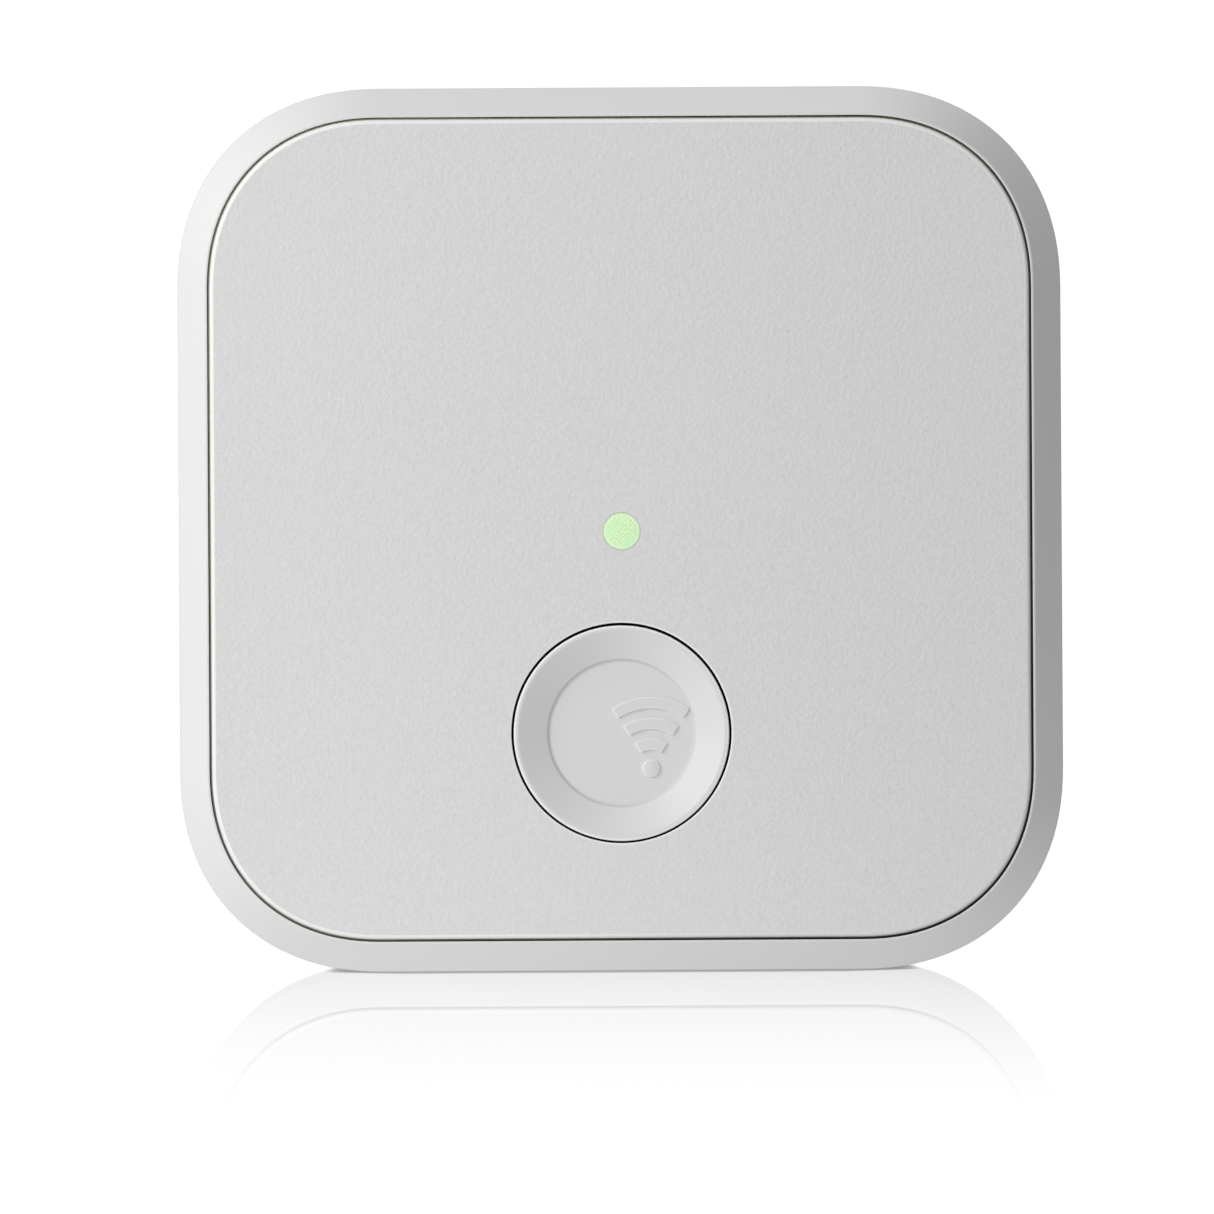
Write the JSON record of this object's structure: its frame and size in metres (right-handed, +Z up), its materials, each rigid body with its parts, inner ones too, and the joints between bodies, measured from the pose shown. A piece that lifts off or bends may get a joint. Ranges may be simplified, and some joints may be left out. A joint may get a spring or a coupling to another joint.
{
  "type": "smart home hub",
  "caption": "Plug-in rounded-square smart home hub with a flat front plate, a small status light and a round dished press button, standing on its flat lower side.",
  "frame": {"origin": "centre of the rear face, which lies against the wall when the hub is plugged in", "axes": "+X to the right and +Z up seen from the front; the front faces -Y and the plug blades point along +Y"},
  "size_m": [0.06, 0.044, 0.06],
  "materials": {
    "case_white": "fine moulded grain",
    "button_white": "satin moulded plastic",
    "light_green": "clear light pipe lit pale green",
    "shroud_black": "matt black",
    "board_green": "solder resist over glass fibre board",
    "module_blue": "blue solder resist",
    "chip_black": "moulded epoxy",
    "ceramic": "unglazed ceramic",
    "steel": "zinc plated",
    "tinned_steel": "tinned",
    "nickel_plate": "nickel plated brass",
    "brass": "bright",
    "ferrite": "sintered ferrite",
    "bobbin_black": "moulded phenolic",
    "tape_yellow": "polyester tape over enamelled wire",
    "capacitor_sleeve": "heat shrunk sleeve",
    "disc_blue": "epoxy dipped",
    "resistor_body": "flameproof coating",
    "hood_plastic": "flame retardant plastic",
    "label": "blank label"
  },
  "bodies": {
    "housing": {"outer_shell": "case_white", "front_cover": "case_white", "rear_cover": "case_white", "rating_label": "label", "rear_screw_1": "steel", "rear_screw_2": "steel", "rear_screw_3": "steel", "rear_screw_4": "steel", "logic_screw_1": "steel", "logic_screw_2": "steel", "logic_screw_3": "steel", "logic_screw_4": "steel", "mains_screw_1": "steel", "mains_screw_2": "steel", "plug_blade_left": "nickel_plate", "plug_blade_right": "nickel_plate", "blade_clamp": "bobbin_black", "button_spring": "steel", "switch_base": "chip_black", "switch_frame": "tinned_steel", "switch_dome": "tinned_steel", "light_pipe": "light_green", "light_shroud": "shroud_black", "status_led": "ceramic", "logic_board": "board_green", "radio_board": "module_blue", "radio_shield": "tinned_steel", "radio_chip": "chip_black", "chip_antenna": "ceramic", "processor_chip": "chip_black", "memory_chip": "chip_black", "crystal": "tinned_steel", "power_inductor": "ferrite", "mains_board": "board_green", "power_chip": "chip_black", "bridge_rectifier": "chip_black", "optocoupler": "chip_black", "output_diode": "chip_black", "link_header": "bobbin_black", "link_pin_1": "brass", "link_pin_2": "brass", "link_pin_3": "brass", "link_pin_4": "brass", "insulating_hood": "hood_plastic", "transformer_core_upper": "ferrite", "transformer_core_lower": "ferrite", "transformer_bobbin": "bobbin_black", "transformer_winding": "tape_yellow", "bulk_capacitor_1": "capacitor_sleeve", "bulk_capacitor_2": "capacitor_sleeve", "output_capacitor": "capacitor_sleeve", "input_choke": "ferrite", "safety_capacitor": "disc_blue", "fusible_resistor": "resistor_body"},
    "button": {"button_cap": "button_white"},
    "plunger": {"switch_plunger": "shroud_black"}
  },
  "joints": [
    {"name": "button_press", "type": "slide", "parent": "housing", "child": "button", "axis": [0, 1, 0], "range_m": [0, 0.0004], "stiffness_N_per_m": 1500, "springref_m": -0.0003, "deforming": ["button_spring"]},
    {"name": "plunger_press", "type": "slide", "parent": "housing", "child": "plunger", "axis": [0, 1, 0], "range_m": [0, 0.0004], "deforming": ["switch_dome"]}
  ],
  "couplings": [
    {"joint": "plunger_press", "follows": "button_press", "ratio": 1}
  ]
}
